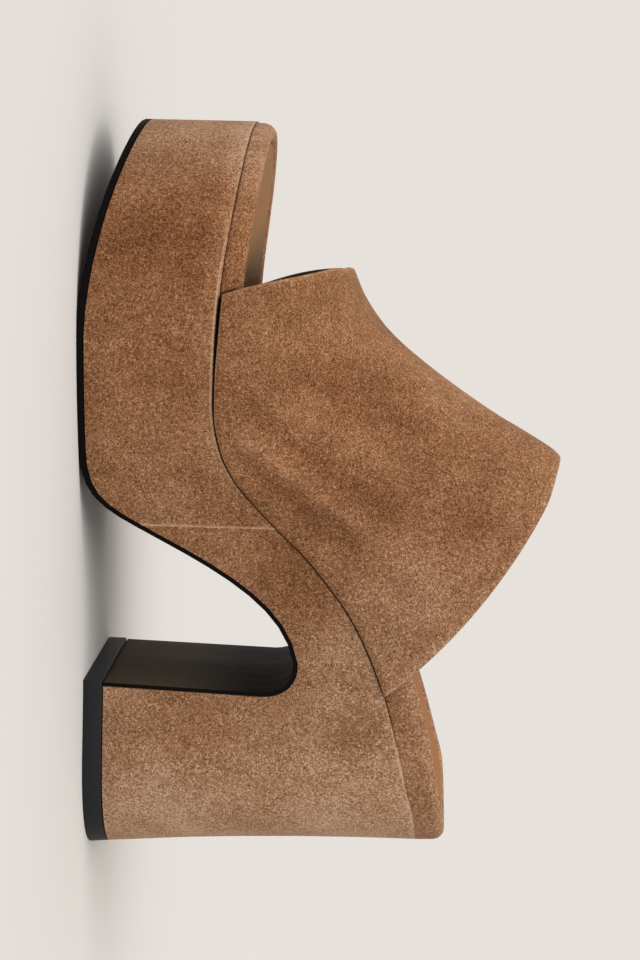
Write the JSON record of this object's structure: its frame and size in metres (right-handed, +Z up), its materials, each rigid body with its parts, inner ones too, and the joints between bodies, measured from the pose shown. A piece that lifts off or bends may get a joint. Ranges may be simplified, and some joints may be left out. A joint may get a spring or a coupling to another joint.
{
  "type": "platform mule",
  "caption": "Open-toe platform mule in suede with a wide one-piece upper, padded footbed, covered platform and block heel, black outsole and top lift",
  "frame": {"origin": "on the floor, under the middle of the shoe's box", "axes": "+X from the heel to the toe, +Y to the shoe's outer side, +Z up"},
  "size_m": [0.23, 0.0944, 0.146],
  "materials": {
    "outsole_rubber": "satin black sheet, smooth on the heel breast",
    "lift_rubber": "matt black",
    "platform_suede": "brown suede with a short speckled nap",
    "heel_suede": "brown suede with a short speckled nap",
    "footbed_suede": "brown suede, a little lighter on the rounded rim",
    "sock_leather": "smooth tan leather, satin",
    "upper_suede": "brown suede with a short speckled nap"
  },
  "bodies": {
    "root": {"outsole": "outsole_rubber", "top_lift": "lift_rubber", "platform": "platform_suede", "heel": "heel_suede", "footbed": "footbed_suede", "sock": "sock_leather", "upper": "upper_suede"}
  },
  "joints": []
}
